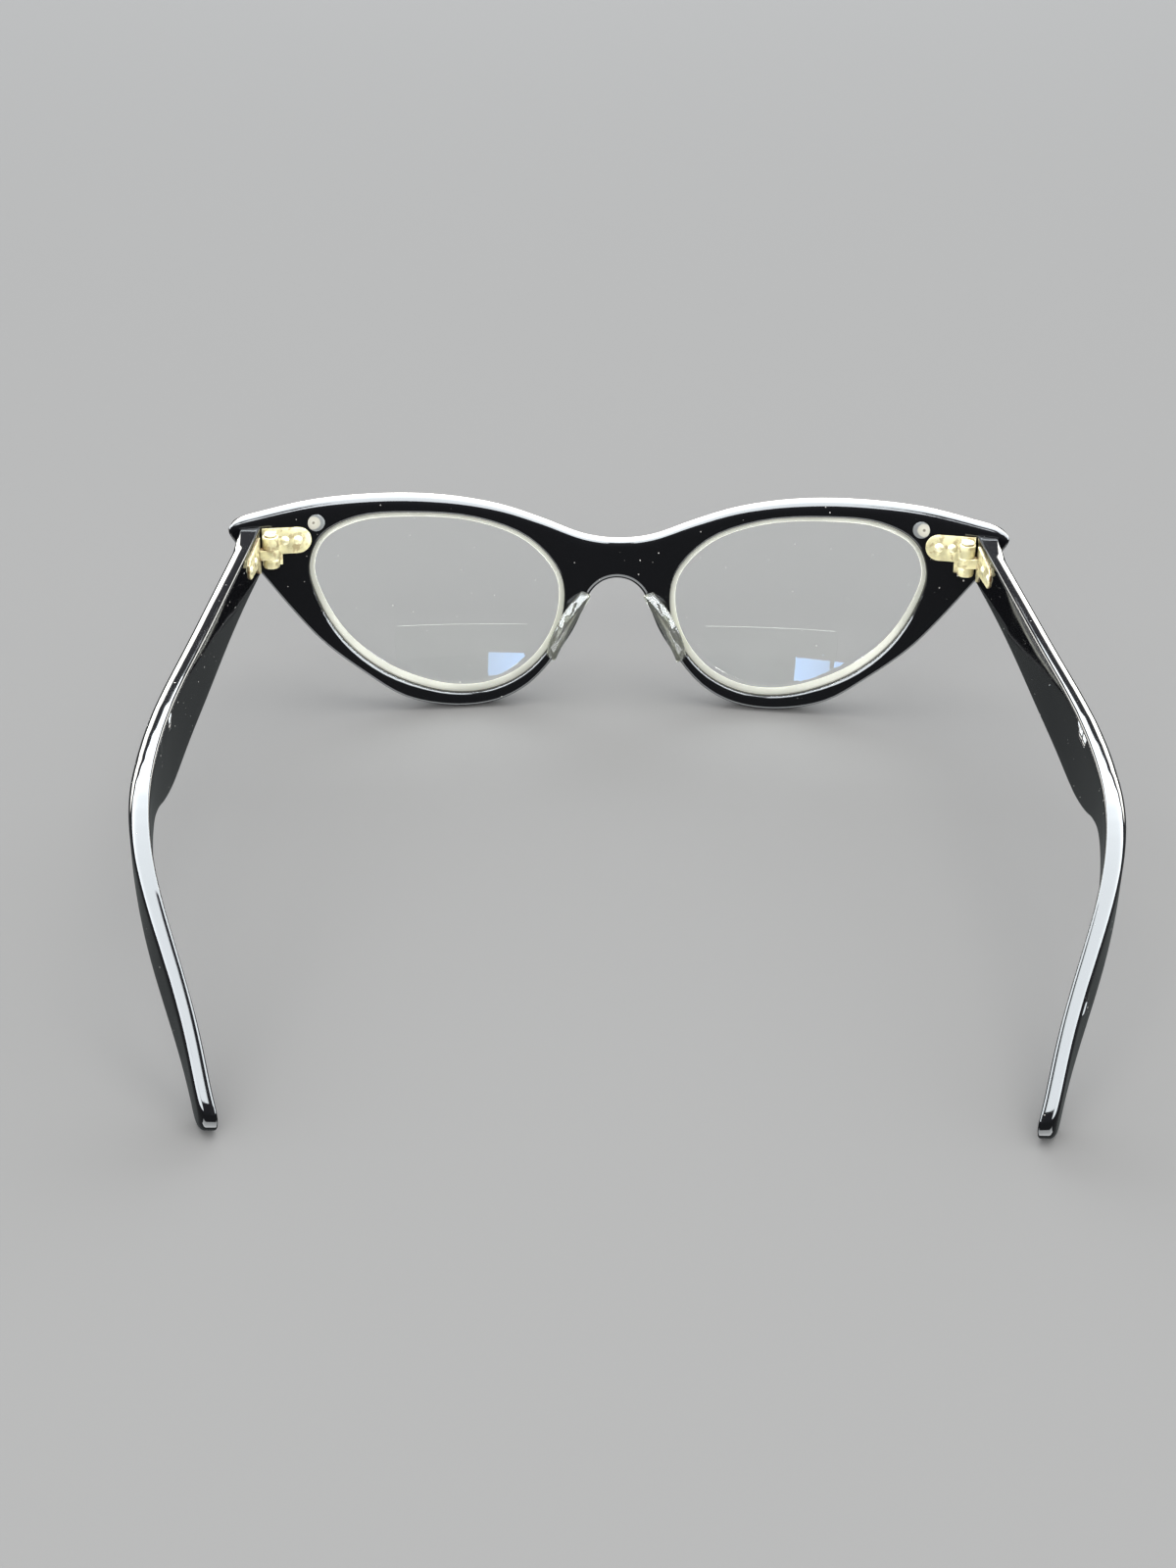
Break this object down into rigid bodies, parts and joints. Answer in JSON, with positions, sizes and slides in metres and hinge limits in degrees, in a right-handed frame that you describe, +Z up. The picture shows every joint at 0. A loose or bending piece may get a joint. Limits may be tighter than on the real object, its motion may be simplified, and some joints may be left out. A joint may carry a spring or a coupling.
{
  "type": "eyeglasses frame",
  "caption": "Cat-eye spectacles: black acetate front and folding temples, clear bifocal lenses, crystal nose pads and riveted brass hinges.",
  "frame": {"origin": "middle of the footprint, on the surface the open glasses stand on", "axes": "+Z up, +Y the way the wearer looks, +X the wearer's right"},
  "size_m": [0.138, 0.1346, 0.0386],
  "materials": {
    "black_acetate": "polished, with fine dust and hairline scratches",
    "temple_acetate": "polished, with fine dust and hairline scratches",
    "lens_glass": "clear, polished, with a finely ground edge ring",
    "segment_glass": "clear, polished, fused into the lens",
    "crystal_acetate": "clear acetate, slightly yellowed",
    "hinge_brass": "pale, worn satin with dark tarnish spots",
    "rivet_brass": "pale, peened heads",
    "screw_brass": "pale, worn satin",
    "stud_metal": "pale, dull polished"
  },
  "bodies": {
    "front": {"front_frame": "black_acetate", "right_lens": "lens_glass", "left_lens": "lens_glass", "right_bifocal_segment": "segment_glass", "left_bifocal_segment": "segment_glass", "right_nose_pad": "crystal_acetate", "left_nose_pad": "crystal_acetate", "right_corner_stud": "stud_metal", "left_corner_stud": "stud_metal", "right_front_hinge_leaf": "hinge_brass", "left_front_hinge_leaf": "hinge_brass", "right_front_hinge_rivets": "rivet_brass", "left_front_hinge_rivets": "rivet_brass", "right_hinge_screw": "screw_brass", "left_hinge_screw": "screw_brass"},
    "right_temple_arm": {"right_temple": "temple_acetate", "right_temple_hinge_leaf": "hinge_brass", "right_temple_hinge_rivets": "rivet_brass"},
    "left_temple_arm": {"left_temple": "temple_acetate", "left_temple_hinge_leaf": "hinge_brass", "left_temple_hinge_rivets": "rivet_brass"}
  },
  "joints": [
    {"name": "right_temple_fold", "type": "hinge", "parent": "front", "child": "right_temple_arm", "pos_m": [0.0589, 0.0531, 0.0316], "axis": [0, 0, -1], "range_deg": [0, 72]},
    {"name": "left_temple_fold", "type": "hinge", "parent": "front", "child": "left_temple_arm", "pos_m": [-0.0589, 0.0531, 0.0316], "axis": [0, 0, 1], "range_deg": [0, 88]}
  ]
}
